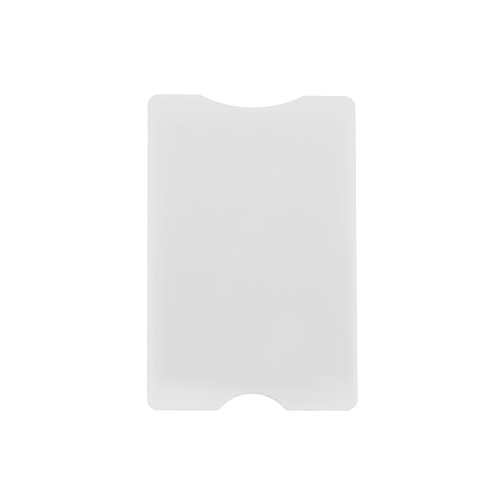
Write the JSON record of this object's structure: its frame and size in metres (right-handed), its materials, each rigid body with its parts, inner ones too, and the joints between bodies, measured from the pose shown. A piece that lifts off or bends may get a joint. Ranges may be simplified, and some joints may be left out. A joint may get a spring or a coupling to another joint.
{
  "type": "plastic card case",
  "caption": "Flat translucent white plastic sleeve for a bank card, open at one end, with a wide thumb notch at the mouth and a small push notch at the closed end.",
  "frame": {"origin": "centre of the rear face's plane, under the middle of the case", "axes": "+Z out of the front face, +Y along the case towards the card mouth and its wide thumb notch, +X to the right seen from the front"},
  "size_m": [0.06, 0.091, 0.004],
  "materials": {
    "translucent_white_plastic": "satin moulded translucent white",
    "shield_foil": "dull rolled foil",
    "adhesive_film": "clear acrylic glue film"
  },
  "bodies": {
    "root": {"front_shell": "translucent_white_plastic", "rear_cover": "translucent_white_plastic", "front_shield_foil": "shield_foil", "rear_shield_foil": "shield_foil", "front_foil_adhesive": "adhesive_film", "rear_foil_adhesive": "adhesive_film"}
  },
  "joints": []
}
